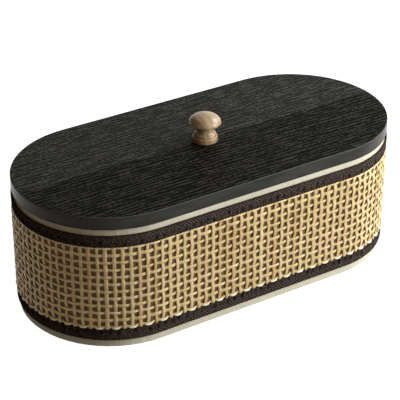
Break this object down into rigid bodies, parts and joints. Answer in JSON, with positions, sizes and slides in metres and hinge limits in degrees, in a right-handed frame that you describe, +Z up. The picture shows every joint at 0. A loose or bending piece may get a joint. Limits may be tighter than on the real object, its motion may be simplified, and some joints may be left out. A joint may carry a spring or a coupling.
{
  "type": "woven lidded box",
  "caption": "Pill-shaped box with a bent wood wall wrapped in woven cane between dark tapes, and a lift-off black veneered lid with a turned wooden knob.",
  "frame": {"origin": "on the surface that the box stands on, below the knob and the middle of the lid", "axes": "+Z up, X along the length, -Y the long front; the wraps meet at the middle of the +Y side"},
  "size_m": [0.3648, 0.1712, 0.1531],
  "materials": {
    "cream_wall": "satin paint",
    "pale_plywood": "bare plywood",
    "brown_cloth": "matt",
    "cane": "natural cane",
    "brown_tape": "herringbone",
    "black_edge": "satin paint",
    "black_veneer": "open-grain stain",
    "turned_wood": "satin",
    "screw_steel": "plain"
  },
  "bodies": {
    "box": {"wall_shell": "cream_wall", "base_board": "pale_plywood", "backing_wrap": "brown_cloth", "cane_webbing": "cane", "lower_tape": "brown_tape", "upper_tape": "brown_tape"},
    "lid": {"lid_locating_board": "pale_plywood", "lid_backing_veneer": "black_veneer", "lid_core": "black_edge", "lid_veneer_front": "black_veneer", "lid_veneer_back": "black_veneer", "knob": "turned_wood", "knob_screw": "screw_steel", "knob_washer": "screw_steel"}
  },
  "joints": [
    {"name": "lid_lift", "type": "slide", "parent": "box", "child": "lid", "axis": [0, 0, 1], "range_m": [0, 0.15]}
  ]
}
